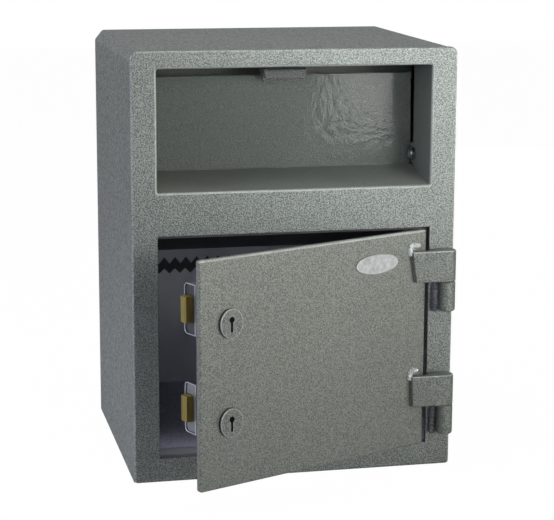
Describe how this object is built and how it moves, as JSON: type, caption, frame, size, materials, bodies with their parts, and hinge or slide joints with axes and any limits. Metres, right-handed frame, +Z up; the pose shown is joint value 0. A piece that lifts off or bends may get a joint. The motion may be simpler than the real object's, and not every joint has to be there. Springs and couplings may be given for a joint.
{
  "type": "drop safe",
  "caption": "Upright steel drop safe with a tilting deposit hopper in a recess above a hinged door that carries lever locks, and saw-toothed baffles inside",
  "frame": {"origin": "centre of the underside of the body, on the surface that it stands on", "axes": "+X to the right seen from the front, +Y to the back, +Z up; the door stands 23.5 degrees open and the hopper is closed"},
  "size_m": [0.403, 0.4797, 0.53],
  "materials": {
    "hammer_paint": "grey hammertone paint with a fine dark speckle, half gloss",
    "inner_paint": "plain dark grey paint, satin",
    "floor_felt": "dark blue-grey felt mat",
    "bare_steel": "bare machined steel",
    "zinc_plate": "bright zinc plating",
    "brass": "drawn brass with fine streaks",
    "satin_silver": "satin silver",
    "nylon": "natural nylon"
  },
  "bodies": {
    "body": {"body_shell": "hammer_paint", "front_plate": "hammer_paint", "back_panel": "hammer_paint", "base_plate": "inner_paint", "floor_tray": "inner_paint", "floor_mat": "floor_felt", "top_door_stop": "inner_paint", "bolt_keeper": "inner_paint", "recess_floor": "hammer_paint", "hopper_side_left": "hammer_paint", "hopper_side_right": "hammer_paint", "hopper_bush_left": "nylon", "hopper_bush_right": "nylon", "chute_baffle": "inner_paint", "rear_baffle": "inner_paint", "roof_baffle": "inner_paint", "hinge_barrel_upper": "hammer_paint", "hinge_barrel_lower": "hammer_paint", "hinge_pin_upper": "bare_steel", "hinge_pin_lower": "bare_steel"},
    "hopper": {"hopper_flap": "hammer_paint", "hopper_cheek_left": "hammer_paint", "hopper_cheek_right": "hammer_paint", "hopper_rear_plate": "inner_paint", "pull_tab": "hammer_paint", "hopper_pin_left": "zinc_plate", "hopper_pin_right": "zinc_plate"},
    "door": {"door_plate": "hammer_paint", "hinge_strap_upper": "hammer_paint", "hinge_strap_lower": "hammer_paint", "escutcheon_upper": "hammer_paint", "escutcheon_lower": "hammer_paint", "badge_plate": "satin_silver", "lock_bracket_upper": "bare_steel", "lock_bracket_lower": "bare_steel", "lock_cap_upper": "zinc_plate", "lock_cap_lower": "zinc_plate", "lock_case_upper": "zinc_plate", "lock_case_lower": "zinc_plate", "lock_screw_upper_1": "zinc_plate", "lock_screw_upper_2": "zinc_plate", "lock_screw_lower_1": "zinc_plate", "lock_screw_lower_2": "zinc_plate"},
    "bolt_upper": {"lock_bolt_upper": "brass"},
    "bolt_lower": {"lock_bolt_lower": "brass"},
    "rotor_upper": {"key_rotor_upper": "bare_steel"},
    "rotor_lower": {"key_rotor_lower": "bare_steel"},
    "levers_upper": {"lever_pack_upper": "brass"},
    "levers_lower": {"lever_pack_lower": "brass"}
  },
  "joints": [
    {"name": "hopper_tilt", "type": "hinge", "parent": "body", "child": "hopper", "pos_m": [0, -0.096, 0.3895], "axis": [1, 0, 0], "range_deg": [0, 75]},
    {"name": "door_swing", "type": "hinge", "parent": "body", "child": "door", "pos_m": [0.1895, -0.1835, 0.18], "axis": [0, 0, 1], "range_deg": [-23.5, 97]},
    {"name": "key_turn_upper", "type": "hinge", "parent": "door", "child": "rotor_upper", "pos_m": [-0.12133, -0.26086, 0.2332], "axis": [0.3987, -0.9171, 0], "range_deg": [0, 180]},
    {"name": "key_turn_lower", "type": "hinge", "parent": "door", "child": "rotor_lower", "pos_m": [-0.12133, -0.26086, 0.1147], "axis": [0.3987, -0.9171, 0], "range_deg": [0, 180]},
    {"name": "bolt_throw_upper", "type": "slide", "parent": "door", "child": "bolt_upper", "axis": [-0.9171, -0.3987, 0], "range_m": [0, 0.011]},
    {"name": "bolt_throw_lower", "type": "slide", "parent": "door", "child": "bolt_lower", "axis": [-0.9171, -0.3987, 0], "range_m": [0, 0.011]},
    {"name": "lever_lift_upper", "type": "hinge", "parent": "door", "child": "levers_upper", "pos_m": [-0.09556, -0.24966, 0.2518], "axis": [-0.3987, 0.9171, 0], "range_deg": [0, 5], "stiffness_Nm_per_rad": 0.02},
    {"name": "lever_lift_lower", "type": "hinge", "parent": "door", "child": "levers_lower", "pos_m": [-0.09556, -0.24966, 0.1333], "axis": [-0.3987, 0.9171, 0], "range_deg": [0, 5], "stiffness_Nm_per_rad": 0.02}
  ],
  "couplings": [
    {"joint": "key_turn_upper", "follows": "bolt_throw_upper", "rad_per_m": 285.5},
    {"joint": "key_turn_lower", "follows": "bolt_throw_lower", "rad_per_m": 285.5}
  ]
}
